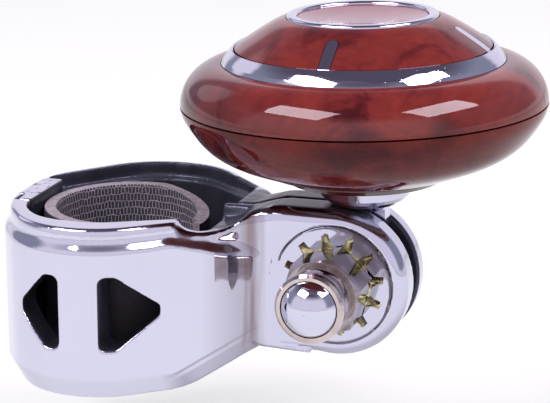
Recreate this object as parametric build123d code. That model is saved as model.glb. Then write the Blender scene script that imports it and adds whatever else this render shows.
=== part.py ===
from build123d import *
import math
import os

# All sizes are in millimetres. The origin is the middle of the clamp bore, +Z is the bore axis,
# +X points from the bore to the pivot bolt and the bolt lies along Y, its nut towards -Y.

# Clamp ring
ring_height = 30.8
ring_left = 20.7          # bore axis to the outer face at the hook end
front_crown = 25.4        # bore axis to the outermost line of the front half
rear_crown = 26.1
front_corners = ((-ring_left, -10.7), (-10.3, -front_crown), (3.3, -front_crown))
rear_corners = ((-ring_left, 8.7), (-7.1, rear_crown), (8.3, rear_crown))
front_neck_x = 24.2       # where the sides run into the ears
rear_neck_x = 26.4
front_radii = (24.0, 15.2, 15.2, 8.0)
rear_radii = (18.0, 16.3, 16.3, 6.0)
wall_step = 1.1           # how far the lower wall stands proud of the rim band
step_top = 13.8
step_drop = 1.8
rim_round = 0.9
strip_root = 0.2            # the strip's slope runs on this far into the rim band
strip_rear_shift = 3.0      # the rear strip swings down this much further on
strip_drop = ((12.0, 13.8), (17.0, 12.2), (22.0, 10.6), (26.5, 10.2))   # strip through the neck
bevel_height = 3.8
bevel_depth = 2.0
parting_gap = 0.12

# Cavity for the steering wheel rim
cavity_left = 16.1
cavity_front = 20.1
front_web_x = 17.8        # solid metal from here to the ears
rear_web_x = 19.6
web_round = 3.0
rear_wall = 3.2
rear_lip_wall = 1.7
rear_lip_depth = 2.2
rear_inner_round = 3.0
hook_block_y = 6.2        # the thick hook end of the rear half stops here
hook_joint_y = -5.6
hook_tooth_length = 3.7
hook_tooth_depth = 3.0

# Arrow windows in the front half
window_inner_x = (-4.3, 3.0)
window_tip_x = (-12.0, 11.9)
window_top = 6.8
window_bottom = -6.2
window_flat = 2.6
window_tip_half = 0.9
window_round = 1.1
window_chamfer = 0.35

# Neck between ring and ears
neck_dip_x = 18.7
neck_dip_bottom = 13.0
neck_dip_radius = 7.3
slant_start_x = 15.0
slant_round = 10.0
slant_end_x = 26.7
slant_end_z = -8.8

# Ears and pivot
pivot_x = 40.0
pivot_z = 4.0
ear_radius = 13.2
ear_front = 8.05
ear_rear = 7.0
ear_round = 0.8
ear_root_x = 23.0
ear_shoulder_x = 29.0
seat_radius = 10.7
seat_depth = 0.8
bolt_radius = 4.0
bolt_clearance = 0.05
nut_flats = 13.0
nut_turn = 15.0

# Stem
lug_radius = 9.0
lug_thickness = 3.6
lug_clearance = 0.2
friction_washer = 0.5
friction_gap = 0.03
neck_width = 8.0
spindle_offset = 4.0
slot_play = 1.2             # degrees of room at the start of the fold
rest_lean = -1.4
use_angle = 91.4
flare_bottom = 12.2
flare_top = 17.5
flare_radius = 8.2
flare_clearance = 0.35
shoulder_radius = 6.0
spindle_radius = 4.0

# Tooth washers
washer_radius = 9.1
washer_thickness = 1.0
washer_teeth = 12
washer_bite = 8.0

# Nut
hex_length = 7.85
collar_length = 6.7
collar_radius = 6.14
cap_radius = 4.9
cap_rise = 3.0
lip_wall = 1.0
lock_ring_height = 2.4

# Bolt
head_height = 5.3

# Knob, heights measured from the pivot bolt along the knob axis
knob_radius = 32.0
seam_gap = 0.35
shell_depth = 12.0
shell_wall = 2.2
lower_curve = ((0.0, 0.0), (0.085, 0.292), (0.21, 0.525), (0.42, 0.746), (0.705, 0.917), (1.0, 1.0))
crown_radius = 7.25
ledge_depth = 1.3
ledge_width = 2.6
boss_radius = 14.5
boss_thickness = 2.0
boss_let_in = 0.475
boss_gap = 0.3
trim_width = 2.35
trim_rise = 2.5
trim_gap = 0.12
dome_rise = 5.15
dome_curve = ((0.0, 0.0), (0.211, 0.257), (0.6, 0.686), (0.8, 0.876), (1.0, 1.0))
dome_wall = 1.8
spoke_count = 4
spoke_turn = -2.0
spoke_width = 2.3
spoke_reach = 6.1
spoke_depth = 0.7
cap_ring_radius = 13.2
cap_ring_width = 1.9
cap_ring_rise = 0.55
cap_recess = 2.0
inlay_dish = 0.8

# Ball bearing
bearing_bore = 4.0
bearing_outer = 11.0
bearing_width = 7.0
race_wall = 1.9
ball_radius = 1.98
ball_count = 7
ball_play = 0.04
hub_wall = 2.4
hub_lip = 0.4
hub_lip_width = 2.0
snap_ring = 1.0

# Screws in the knob
post_gap = 2.4
post_radius = 3.2
post_turn = 30.0
post_count = 3
screw_radius = 1.4
screw_head_radius = 2.7
screw_head_height = 1.5
screw_length = 9.0
web_thickness = 1.8
web_gap = 1.2
end_washer_radius = 6.0
end_washer_height = 1.0
end_screw_head = 4.2
end_screw_head_height = 2.8
end_screw_length = 9.0
end_screw_radius = 2.4

# Rubber strip
strip_outer = 16.0
strip_inner = 13.6
strip_top = 14.0
strip_bottom = -14.0
strip_start = 0.0
strip_end = 338.0
strip_flap = 1.2
strip_flap_turn = -9.0
strip_slope_x = 2.0
strip_slope = 0.165

half_height = ring_height / 2
strip_rise = strip_root * step_drop / wall_step
hook_inner_x = -cavity_left + 0.2
washer_front_y = -ear_front + seat_depth
washer_rear_y = ear_rear - seat_depth
nut_y = washer_front_y - washer_thickness
head_y = washer_rear_y + washer_thickness
boss_bottom = flare_top + boss_gap
boss_top = boss_bottom + boss_thickness
bearing_bottom = boss_top + hub_lip
bearing_top = bearing_bottom + bearing_width
pitch_radius = (bearing_bore + bearing_outer) / 2
hub_radius = bearing_outer + hub_wall
post_circle = hub_radius + post_gap + post_radius
web_inner = hub_radius + web_gap
shell_floor = boss_top - boss_let_in
seam_low = shell_floor + shell_depth
seam_height = seam_low + seam_gap / 2
seam_high = seam_low + seam_gap
crown_centre_r = knob_radius - crown_radius
crown_top = seam_height + crown_radius
ledge_height = crown_top - ledge_depth
trim_foot = crown_centre_r - trim_width
trim_height = crown_top + trim_rise
ledge_inner = trim_foot - ledge_width
dome_foot = trim_foot - trim_gap
dome_top = trim_height + dome_rise
cap_ring_inner = cap_ring_radius - cap_ring_width
spoke_tip = trim_foot - spoke_reach
recess_floor = dome_top - cap_recess


def crossing(a, b, c, d):
    """Point where the line through a and b meets the line through c and d."""
    ux, uy = b[0] - a[0], b[1] - a[1]
    vx, vy = d[0] - c[0], d[1] - c[1]
    t = ((c[0] - a[0]) * vy - (c[1] - a[1]) * vx) / (ux * vy - uy * vx)
    return (a[0] + ux * t, a[1] + uy * t)


def moved_side(a, b, out, side):
    """Side of an outline, moved outwards."""
    dx, dy = b[0] - a[0], b[1] - a[1]
    length = math.hypot(dx, dy)
    nx, ny = dy / length * side * out, -dx / length * side * out
    return (a[0] + nx, a[1] + ny), (b[0] + nx, b[1] + ny)


def moved_corners(path, out, side):
    """Corners of an open outline after every side but the last has moved outwards."""
    sides = [moved_side(a, b, out, side) for a, b in zip(path[:-2], path[1:-1])]
    sides.append((path[-2], path[-1]))
    inner = [crossing(*s, *t) for s, t in zip(sides[:-1], sides[1:])]
    return [(inner[0][0], path[0][1])] + inner + [path[-1]]


def half_face(side, out=0.0):
    """Plan of one half of the clamp; side is -1 for the front half and 1 for the rear one."""
    if side < 0:
        corners, radii, neck_x, ear_y = front_corners, front_radii, front_neck_x, -ear_front
    else:
        corners, radii, neck_x, ear_y = rear_corners, rear_radii, rear_neck_x, ear_rear
    path = [(-ring_left, 0)] + list(corners) + [(neck_x, ear_y), (pivot_x - 4, ear_y)]
    path = moved_corners(path, out, -side)
    radii = [r + out for r in radii[:-1]] + [radii[-1] - out]
    path.append((path[-1][0], 0))
    line = FilletPolyline(*path, radius=[0] + radii + [0, 0], close=True)
    return make_face(line)


def slab(face, bottom, top):
    return Pos(0, 0, bottom) * extrude(face, top - bottom)


def xz_prism(points, y0, y1):
    """Prism along Y over a polygon given as X and Z."""
    face = Plane.XZ * make_face(Polyline(*points, close=True))
    return Pos(0, y1, 0) * extrude(face, y1 - y0)


def y_cylinder(radius, y0, y1, x=0.0, z=0.0):
    return Pos(x, (y0 + y1) / 2, z) * Rot(90, 0, 0) * Cylinder(radius, abs(y1 - y0))


def outer_walls(body):
    """Outside wall faces of one half of the ring, without its cut ends."""
    walls = body.faces().filter_by(lambda f: abs(f.normal_at().Z) < 0.05)
    return walls.filter_by(lambda f: abs(f.center().Y) > 0.3 and f.center().X < pivot_x - 4.3)


def bevelled(body, up, depth, height):
    """Bevels the outside edge all along the top (up = 1) or the underside (up = -1)."""
    level = body.faces().filter_by(lambda f: f.normal_at().Z * up > 0.99).sort_by(SortBy.AREA)[-1]
    near = set(e for f in outer_walls(body) for e in f.edges())
    first = [e for e in level.edges() if e in near][0]
    return Part(body.solids()[0].chamfer(depth, height, [first], level).wrapped)


def neck_drop(side):
    """Room over the strip where it swings down through the neck."""
    shift = strip_rear_shift if side > 0 else 0
    line = Spline(*[(x + shift, z + strip_rise) for x, z in strip_drop], tangents=[(1, 0), (1, 0)])
    start, end = line @ 0, line @ 1
    high = half_height + 3
    rest = Polyline((end.X, end.Y), (pivot_x, end.Y), (pivot_x, high), (start.X, high), (start.X, start.Y))
    face = Plane.XZ * make_face(line.edges() + rest.edges())
    return Pos(0, rear_crown + 10, 0) * extrude(face, 2 * rear_crown + 20)


def ring_slant():
    """Room under the ring where its underside swings up towards the ears."""
    low = -half_height - 2
    slope = (slant_end_z + half_height) / (slant_end_x - slant_start_x)
    end = (pivot_x, -half_height + slope * (pivot_x - slant_start_x))
    start = (slant_start_x - 8, -half_height)
    line = FilletPolyline(start, (slant_start_x, -half_height), end, radius=slant_round)
    rest = Polyline(end, (end[0], low), (start[0], low), start)
    face = Plane.XZ * make_face(line.edges() + rest.edges())
    return Pos(0, rear_crown + 10, 0) * extrude(face, 2 * rear_crown + 20)


def ring_wall(side):
    """One half of the ring: rim band, stepped main wall with its sloped strip, bevelled foot."""
    band = slab(half_face(side), 0, half_height)
    near = set(e for f in outer_walls(band) for e in f.edges())
    top = band.faces().sort_by(Axis.Z)[-1]
    band = fillet([e for e in top.edges() if e in near], rim_round)
    main = slab(half_face(side, wall_step), -half_height, step_top + strip_rise) - ring_slant()
    main = bevelled(main, -1, bevel_depth, bevel_height)
    main = bevelled(main - neck_drop(side), 1, wall_step + strip_root, step_drop + strip_rise)
    return band + main


def ear_heel():
    """Point where the ear's underside runs into its round end without a corner."""
    dx, dz = slant_end_x - pivot_x, slant_end_z - pivot_z
    turn = math.atan2(dz, dx) + math.acos(ear_radius / math.hypot(dx, dz))
    return (pivot_x + ear_radius * math.cos(turn), pivot_z + ear_radius * math.sin(turn))


def ear_blank(y0, y1):
    """D-shaped ear with a flat top, drawn out along Y."""
    top = pivot_z + ear_radius
    disc = Pos(pivot_x, pivot_z) * Circle(ear_radius)
    block = make_face(Polyline((ear_root_x, slant_end_z + 2.4), (slant_end_x, slant_end_z), ear_heel(),
                               (pivot_x, pivot_z), (pivot_x, top), (ear_shoulder_x, top),
                               (ear_root_x, half_height), close=True))
    face = Plane.XZ * (disc + block)
    ear = Pos(0, y1, 0) * extrude(face, y1 - y0)
    outside = y0 if abs(y0) > abs(y1) else y1
    rim = [e for e in ear.edges() if abs(e.center().Y - outside) < 0.01 and e.center().X > ear_shoulder_x]
    return fillet(rim, ear_round)


def slant_cut():
    """Wedge under the ears that carries on the slant of the ring."""
    low = -half_height - 2
    y = rear_crown + 10
    heel = ear_heel()
    return xz_prism([(slant_start_x - 1.5, low), (slant_start_x, -half_height),
                     (slant_end_x, slant_end_z), heel, (heel[0], low)], -y, y)


def window(index):
    inner, tip = window_inner_x[index], window_tip_x[index]
    side = 1 if tip > inner else -1
    middle = (window_top + window_bottom) / 2
    flat = inner + side * window_flat
    points = [(inner, window_bottom), (inner, window_top), (flat, window_top),
              (tip, middle + window_tip_half), (tip, middle - window_tip_half),
              (flat, window_bottom)]
    face = Plane.XZ * fillet(make_face(Polyline(*points, close=True)).vertices(), window_round)
    depth = front_crown + 5 - cavity_front + 8
    return Pos(0, -cavity_front + 8, 0) * extrude(face, depth)


def window_edges(body):
    """Edges of both windows on the outside face."""
    near = body.edges().filter_by_position(Axis.Z, window_bottom - 0.1, window_top + 0.1)
    near = near.filter_by_position(Axis.X, window_tip_x[0] - 0.1, window_tip_x[1] + 0.1)
    near = near.filter_by_position(Axis.Y, -front_crown - 5, -cavity_front + 3)
    short = [e for e in near if e.length < window_top - window_bottom and abs((e % 0.5).Y) < 0.9]
    return short


def front_cavity():
    path = [(-cavity_left, 1), (-cavity_left, -12.2), (-10.2, -cavity_front), (0.9, -cavity_front),
            (front_web_x, -11.1), (front_web_x, 1)]
    line = FilletPolyline(*path, radius=[0, 11, 10.8, 12, web_round, 0], close=True)
    return slab(make_face(line), -half_height - 1, half_height + 1)


def rear_cavity(wall):
    """Room inside the rear half, a wall thickness in from its outside."""
    path = [(-ring_left, 0)] + list(rear_corners) + [(rear_neck_x, ear_rear), (pivot_x, ear_rear)]
    inner = moved_corners(path, -wall, -1)
    left = inner[0][0]
    end = crossing(inner[3], inner[4], (rear_web_x, 0), (rear_web_x, 1))
    outline = [(-cavity_left, -1), (-cavity_left, hook_block_y), (left, hook_block_y)]
    outline += inner[1:4] + [end, (rear_web_x, -1)]
    radii = [0, 0, 0, rear_inner_round, rear_radii[1] - wall, rear_radii[2] - wall, 1.5, 0]
    return make_face(FilletPolyline(*outline, radius=radii, close=True))


def hook_region(grow=0.0):
    """Plan of the rear half at the hook end, in front of the middle plane."""
    base = Pos(-30, hook_joint_y / 2 - grow / 2) * Rectangle(30, -hook_joint_y + grow)
    y0, y1 = hook_joint_y - hook_tooth_length - grow, hook_joint_y + 1
    x0, x1 = hook_inner_x - hook_tooth_depth - grow, -cavity_left + 1
    tooth = Pos((x0 + x1) / 2, (y0 + y1) / 2) * Rectangle(x1 - x0, y1 - y0)
    return base + tooth


def pivot_cuts(side):
    """Bolt hole, washer seat, lug pocket and stem slot in one ear."""
    pocket = lug_thickness / 2 + friction_washer + 2 * friction_gap
    slot = lug_thickness / 2 + lug_clearance
    ear = ear_front if side < 0 else ear_rear
    hole = y_cylinder(bolt_radius + 0.25, -20, 20, pivot_x, pivot_z)
    seat = y_cylinder(seat_radius, side * (ear - seat_depth), side * (ear + 3), pivot_x, pivot_z)
    room = y_cylinder(lug_radius + 0.4, -pocket, pocket, pivot_x, pivot_z)
    reach = ear_radius + 6
    start = 90 - rest_lean + slot_play
    end = 90 - rest_lean - use_angle
    steps = 12
    fan = [(pivot_x, pivot_z)]
    for i in range(steps + 1):
        a = math.radians(start + (end - start) * i / steps)
        fan.append((pivot_x + reach * math.cos(a), pivot_z + reach * math.sin(a)))
    low = neck_width + lug_clearance
    turn = math.radians(end)
    fan.append((fan[-1][0] + low * math.sin(turn), fan[-1][1] - low * math.cos(turn)))
    fan.append((pivot_x + low * math.sin(turn), pivot_z - low * math.cos(turn)))
    return hole + seat + room + xz_prism(fan, -slot, slot)


def clamp_front_half():
    body = ring_wall(-1) + ear_blank(-ear_front, 0)
    for index in range(2):
        body -= window(index)
    body = chamfer(window_edges(body), window_chamfer)
    body -= front_cavity()
    body -= slant_cut()
    body -= y_cylinder(neck_dip_radius, -30, -2.2, neck_dip_x, neck_dip_bottom + neck_dip_radius)
    body -= pivot_cuts(-1)
    hook = hook_region(parting_gap / 2)
    body -= slab(hook, -half_height - 1, half_height + 1)
    body -= slab(Pos(0, 20 - parting_gap / 2) * Rectangle(200, 40), -40, 40)
    return body


def clamp_rear_half():
    upper = slab(rear_cavity(rear_lip_wall), half_height - rear_lip_depth, half_height + 1)
    lower = slab(rear_cavity(rear_wall), -half_height - 1, half_height)
    body = ring_wall(1) + ear_blank(0, ear_rear)
    hook = slab(hook_region(-parting_gap / 2), -half_height - 1, half_height + 1)
    body += (ring_wall(-1) - front_cavity()) & hook
    body -= upper + lower
    body -= slant_cut()
    body -= pivot_cuts(1)
    front = slab(Pos(25, -20 + parting_gap / 2) * Rectangle(80, 40), -40, 40)
    return body - front


def rim_liner():
    """Rubber strip rolled into the bore, its outer layer running on a little further."""
    height = strip_top - strip_bottom
    ring = Circle(strip_outer) - Circle(strip_inner)
    reach = strip_outer * 1.6

    def sector(a0, a1):
        steps = 8
        points = [(0, 0)]
        for i in range(steps + 1):
            a = math.radians(a0 + (a1 - a0) * i / steps)
            points.append((reach * math.cos(a), reach * math.sin(a)))
        return make_face(Polyline(*points, close=True))

    gap = sector(strip_end - 360, strip_start)
    flap = (Circle(strip_outer) - Circle(strip_outer - strip_flap)) & sector(strip_flap_turn, strip_start)
    strip = slab(ring - gap + flap, strip_bottom, strip_top)
    drop = strip_slope * (strip_outer + 2 - strip_slope_x)
    wedge = [(strip_slope_x, strip_top), (strip_outer + 2, strip_top - drop),
             (strip_outer + 2, strip_top + 3), (strip_slope_x, strip_top + 3)]
    return strip - xz_prism(wedge, -strip_outer - 2, strip_outer + 2)


def tooth_washer(seat_y, side):
    """External tooth lock washer; each tooth is a leaf twisted out of the plane."""
    inner = bolt_radius + bolt_clearance + 0.25
    root = washer_radius - 2.3
    disc = Circle(root) - Circle(inner)
    body = extrude(disc, washer_thickness / 2, both=True)
    width = 2 * math.pi * washer_radius / washer_teeth * 0.52
    leaf = Pos((root + washer_radius) / 2 - 0.3, 0, 0) * Rot(32, 0, 0) * Box(
        washer_radius - root + 0.6, width, washer_thickness * 0.55)
    for tooth in PolarLocations(0, washer_teeth, start_angle=washer_bite):
        body += tooth * leaf
    limit = Cylinder(washer_radius, washer_thickness) - Cylinder(inner, washer_thickness)
    body = body & limit
    middle = seat_y + side * washer_thickness / 2
    return Pos(pivot_x, middle, pivot_z) * Rot(90, 0, 0) * body


def hexagon(turn=0.0):
    return Rot(0, 0, turn) * RegularPolygon(nut_flats / 2, 6, major_radius=False)


def hex_bar(length, chamfered):
    """Hexagon bar along +Z with its far corners turned off to a cone."""
    corner = nut_flats / math.sqrt(3)
    bar = extrude(hexagon(nut_turn), length)
    cone_drop = (corner - nut_flats / 2) * 0.6
    profile = make_face(Polyline((0, 0), (corner + 1, 0), (corner + 1, length - cone_drop - 0.6),
                                 (nut_flats / 2 - 0.1, length), (0, length), close=True))
    return bar & revolve(Plane.XZ * profile, Axis.Z) if chamfered else bar


def on_nut_side(shape):
    """Turns a shape built along +Z so that it points to -Y from the washer."""
    return Pos(pivot_x, nut_y, pivot_z) * Rot(90, 0, 0) * shape


def pivot_nut():
    """Locking cap nut: hexagon, collar with a rolled lip, and the room for ring and cap."""
    body = hex_bar(hex_length, True)
    neck = collar_radius - 0.35
    top = hex_length + collar_length
    bore = bolt_radius + bolt_clearance
    outside = make_face(Polyline((0, hex_length - 1.2), (neck, hex_length - 1.2), (neck, top - 2.2),
                                 (collar_radius, top - 1.5), (collar_radius, top - 0.5),
                                 (collar_radius - 0.5, top), (0, top), close=True))
    body += revolve(Plane.XZ * outside, Axis.Z)
    room = cap_radius + 0.15
    ring_floor = top - lip_wall - lock_ring_height
    body -= Pos(0, 0, top / 2) * Cylinder(bore, top + 2)
    body -= Pos(0, 0, ring_floor + 5) * Cylinder(room, 10)
    return on_nut_side(body)


def nut_locking_ring():
    top = hex_length + collar_length - lip_wall - 0.05
    ring = Cylinder(cap_radius + 0.1, lock_ring_height - 0.1) - Cylinder(bolt_radius, lock_ring_height)
    return on_nut_side(Pos(0, 0, top - lock_ring_height / 2) * ring)


def nut_dome_cap():
    """Pressed cap that closes the nut, a thin dome with a flat brim under the lip."""
    foot = hex_length + collar_length - lip_wall
    wall = 0.5
    radius = cap_radius
    ball = (radius ** 2 + cap_rise ** 2) / (2 * cap_rise)
    outer = Pos(0, 0, foot + lip_wall + cap_rise - ball) * Sphere(ball)
    inner = Pos(0, 0, foot + lip_wall + cap_rise - ball) * Sphere(ball - wall)
    skirt = Pos(0, 0, foot + lip_wall / 2) * (Cylinder(radius, lip_wall)
                                              - Cylinder(radius - wall, lip_wall + 1))
    above = Pos(0, 0, foot + lip_wall + 5) * Box(20, 20, 10)
    return on_nut_side(skirt + ((outer - inner) & above))


def pivot_bolt():
    length = head_y - nut_y + hex_length + collar_length - lip_wall - 0.8
    head = hex_bar(head_height, True)
    shank = Pos(0, 0, -length / 2) * Cylinder(bolt_radius, length)
    end = chamfer(shank.edges().sort_by(Axis.Z)[0], 0.8)
    return Pos(pivot_x, head_y, pivot_z) * Rot(-90, 0, 0) * (head + end)


def friction_ring(side):
    ring = Cylinder(lug_radius - 0.4, friction_washer) - Cylinder(bolt_radius + 0.3, 5)
    y = side * (lug_thickness / 2 + friction_gap + friction_washer / 2)
    return Pos(pivot_x, y, pivot_z) * Rot(90, 0, 0) * ring


def lean(shape):
    """Turns the folding group about the pivot bolt to where it rests."""
    return Pos(pivot_x, 0, pivot_z) * Rot(0, rest_lean, 0) * shape


def about_knob(points):
    """Solid of revolution about the knob axis over radius and height points."""
    face = Plane.XZ * make_face(Polyline(*points, close=True))
    return Pos(spindle_offset, 0, 0) * revolve(face, Axis.Z)


def stem():
    """Lug, neck, saddle flare and spindle, forged in one piece."""
    thick = lug_thickness
    lug = y_cylinder(lug_radius, -thick / 2, thick / 2)
    neck = Pos(neck_width / 2, 0, (flare_bottom + 2) / 2) * Box(neck_width, thick, flare_bottom + 2)
    saddle_r = ear_radius + flare_clearance
    flare = about_knob([(0, flare_bottom), (3.3, flare_bottom), (4.2, 12.75), (6.0, 13.5),
                        (7.2, 14.3), (7.8, 15.0), (flare_radius, flare_top - 0.6),
                        (flare_radius - 0.4, flare_top), (0, flare_top)])
    flare -= y_cylinder(saddle_r, -20, 20)
    shoulder = about_knob([(0, flare_top - 1), (shoulder_radius, flare_top - 1),
                           (shoulder_radius, bearing_bottom), (0, bearing_bottom)])
    spindle = about_knob([(0, bearing_bottom - 1), (spindle_radius - 0.01, bearing_bottom - 1),
                          (spindle_radius - 0.01, bearing_top - 0.5),
                          (spindle_radius - 0.4, bearing_top - 0.1), (0, bearing_top - 0.1)])
    body = lug + neck + flare + shoulder + spindle
    body -= y_cylinder(bolt_radius + bolt_clearance, -10, 10)
    depth = end_screw_length + 0.5
    body -= Pos(spindle_offset, 0, bearing_top - depth / 2) * Cylinder(end_screw_radius + 0.02, depth)
    return lean(body)


def race_profile(radius, side):
    """Race section: a rectangle with the ball groove taken out of one side."""
    middle = (bearing_bottom + bearing_top) / 2
    r0, r1 = (radius, radius + race_wall) if side > 0 else (radius - race_wall, radius)
    section = Pos((r0 + r1) / 2, middle) * Rectangle(race_wall, bearing_width)
    groove = Pos(pitch_radius, middle) * Circle(ball_radius + ball_play)
    return Pos(spindle_offset, 0, 0) * revolve(Plane.XZ * (section - groove), Axis.Z)


def bearing_inner_race():
    return lean(race_profile(bearing_bore, 1))


def bearing_outer_race():
    return lean(race_profile(bearing_outer, -1))


def bearing_balls():
    middle = (bearing_bottom + bearing_top) / 2
    balls = [place * Sphere(ball_radius) for place in PolarLocations(pitch_radius, ball_count)]
    return lean(Pos(spindle_offset, 0, middle) * Compound(balls))


def bearing_shields():
    """Pressed steel ring on each face of the bearing, carried by the outer race."""
    inner = bearing_bore + race_wall + 0.15
    outer = bearing_outer - race_wall - 0.02
    plates = []
    for z in (bearing_bottom + 0.35, bearing_top - 0.35):
        plates.append(Pos(spindle_offset, 0, z) * (Cylinder(outer, 0.3) - Cylinder(inner, 1)))
    return lean(Compound(plates))


def bearing_snap_ring():
    """Open ring in the hub above the bearing."""
    z = bearing_top + 0.05 + snap_ring / 2
    ring = Cylinder(bearing_outer + 0.4, snap_ring) - Cylinder(bearing_outer - 1.6, 2)
    ring -= Pos(bearing_outer, 0, 0) * Box(6, 5, 3)
    return lean(Pos(spindle_offset, 0, z) * ring)


def end_washer():
    ring = Cylinder(end_washer_radius, end_washer_height) - Cylinder(end_screw_radius + 0.1, 3)
    return lean(Pos(spindle_offset, 0, bearing_top + end_washer_height / 2) * ring)


def end_screw():
    z = bearing_top + end_washer_height
    shank = Pos(0, 0, z - end_screw_length / 2) * Cylinder(end_screw_radius, end_screw_length)
    head = Pos(0, 0, z + end_screw_head_height / 2) * Cylinder(end_screw_head, end_screw_head_height)
    head = fillet(head.edges().sort_by(Axis.Z)[-1], 1.2)
    slot = Pos(0, 0, z + end_screw_head_height) * (Box(5, 0.9, 2.4) + Box(0.9, 5, 2.4))
    return lean(Pos(spindle_offset, 0, 0) * (shank + head - slot))


def lower_section(shrink, top):
    """Half section of the lower shell's outside, or of the same curve a wall further in."""
    width, depth = knob_radius - boss_radius, shell_depth - shrink
    points = [(knob_radius - shrink - u * width, seam_low - v * depth) for u, v in lower_curve]
    curve = Spline(*points, tangents=[(-0.12, -1), (-1, -0.02)])
    path = [points[-1], (0, points[-1][1]), (0, top), (points[0][0], top)]
    if top > points[0][1]:
        path.append(points[0])
    return make_face(curve.edges() + Polyline(*path).edges())


def knob_lower_shell():
    """Moulded lower shell with its bearing hub and the three screw posts."""
    top, floor = seam_low, shell_floor
    body = revolve(Plane.XZ * lower_section(0, top), Axis.Z)
    body -= revolve(Plane.XZ * lower_section(shell_wall, top + 1), Axis.Z)
    hub_top = bearing_top + snap_ring + 1.2
    body += Pos(0, 0, (floor + hub_top) / 2) * Cylinder(hub_radius, hub_top - floor)
    for place in PolarLocations(post_circle, post_count, start_angle=post_turn):
        post = place * Pos(0, 0, (floor + 1 + top) / 2) * Cylinder(post_radius, top - floor - 1)
        body += post & revolve(Plane.XZ * lower_section(0.5, top), Axis.Z)
    for place in PolarLocations(post_circle, post_count, start_angle=post_turn):
        body -= place * Pos(0, 0, top - 3.5) * Cylinder(screw_radius, 9)
    groove_z = bearing_top + 0.05 + snap_ring / 2
    body -= Pos(0, 0, bearing_bottom + 10) * Cylinder(bearing_outer + 0.02, 20)
    body -= Pos(0, 0, groove_z) * Cylinder(bearing_outer + 0.45, snap_ring + 0.05)
    body -= Pos(0, 0, floor) * Cylinder(bearing_outer - hub_lip_width, 2 * (bearing_bottom - floor) + 0.1)
    body -= Pos(0, 0, floor - 1) * Cylinder(boss_radius, 2 * (boss_top - floor + 1.02))
    return lean(Pos(spindle_offset, 0, 0) * body)


def knob_boss():
    """Darker disc under the knob that closes the bearing from below."""
    disc = about_knob([(shoulder_radius + 0.3, boss_bottom), (boss_radius - 0.8, boss_bottom),
                       (boss_radius - 0.1, boss_bottom + 0.8), (boss_radius - 0.1, boss_top),
                       (shoulder_radius + 0.3, boss_top)])
    return lean(disc)


def knob_upper_shell():
    """Upper shell: rounded crown, the ledge for trim and dome, and the screw web."""
    low = seam_high
    centre = (crown_centre_r, seam_height)
    r_in = crown_radius - shell_wall
    start = math.asin((low - seam_height) / crown_radius)
    outer = CenterArc(centre, crown_radius, math.degrees(start), 90 - math.degrees(start))
    rest = Polyline(outer @ 1, (crown_centre_r, ledge_height), (ledge_inner, ledge_height),
                    (ledge_inner, ledge_height - shell_wall),
                    (crown_centre_r, ledge_height - shell_wall),
                    (crown_centre_r + r_in * 0.7, seam_height + r_in * 0.62),
                    (knob_radius - shell_wall, low), outer @ 0)
    shell = revolve(Plane.XZ * make_face(outer.edges() + rest.edges()), Axis.Z)
    web = Pos(0, 0, low + web_thickness / 2) * (Cylinder(knob_radius - shell_wall + 0.4, web_thickness)
                                                - Cylinder(web_inner, 5))
    for place in PolarLocations(post_circle, post_count, start_angle=post_turn):
        web -= place * Pos(0, 0, low) * Cylinder(screw_radius + 0.25, 10)
    return lean(Pos(spindle_offset, 0, 0) * (shell + web))


def shell_screws():
    z = seam_high + web_thickness
    screws = []
    for place in PolarLocations(post_circle, post_count, start_angle=post_turn):
        shank = Pos(0, 0, z - screw_length / 2) * Cylinder(screw_radius - 0.02, screw_length)
        head = Pos(0, 0, z + screw_head_height / 2) * Cylinder(screw_head_radius, screw_head_height)
        screws.append(place * (shank + fillet(head.edges().sort_by(Axis.Z)[-1], 0.8)))
    return lean(Pos(spindle_offset, 0, 0) * Compound(screws))


def dome_solid(out, base):
    """Solid under the dome curve, down to a base height."""
    width = dome_foot - cap_ring_radius - trim_gap
    points = [(dome_foot - u * width, trim_height + v * dome_rise + out) for u, v in dome_curve]
    curve = Spline(*points)
    top = points[-1]
    closing = Polyline(top, (0, top[1]), (0, base), (points[0][0], base), points[0])
    return revolve(Plane.XZ * make_face(curve.edges() + closing.edges()), Axis.Z)


def spoke_cutter(width, tip, base):
    """Round-ended bars that reach in from the trim ring towards the cap ring."""
    bars = []
    for place in PolarLocations(0, spoke_count, start_angle=spoke_turn):
        outer = trim_foot + 0.4
        bar = Pos((tip + width / 2 + outer) / 2, 0) * Rectangle(outer - tip - width / 2, width)
        bar += Pos(tip + width / 2, 0) * Circle(width / 2)
        bars.append(place * slab(bar, base, dome_top + 2))
    return bars


def trim_ring():
    """Plated trim ring with the spokes that lie let into the dome."""
    foot = trim_foot + trim_gap
    edge = crown_centre_r - trim_gap
    ring = revolve(Plane.XZ * make_face(Polyline(
        (foot, ledge_height), (edge, ledge_height), (edge, crown_top + 0.1),
        (edge - 0.4, crown_top + 0.75), ((foot + edge) / 2, (crown_top + trim_height) / 2 + 0.35),
        (foot + 0.3, trim_height), (foot, trim_height - 0.15), close=True)), Axis.Z)
    cover = dome_solid(0.0, ledge_height)
    under = dome_solid(-spoke_depth, ledge_height)
    root = Pos(0, 0, trim_height - 0.31) * (Cylinder(foot + 0.4, 0.28) - Cylinder(foot - 0.6, 2))
    for bar in spoke_cutter(spoke_width - 2 * trim_gap, spoke_tip + trim_gap, ledge_height):
        ring += (bar & (cover - under)) + (bar & root)
    return lean(Pos(spindle_offset, 0, 0) * ring)


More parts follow.
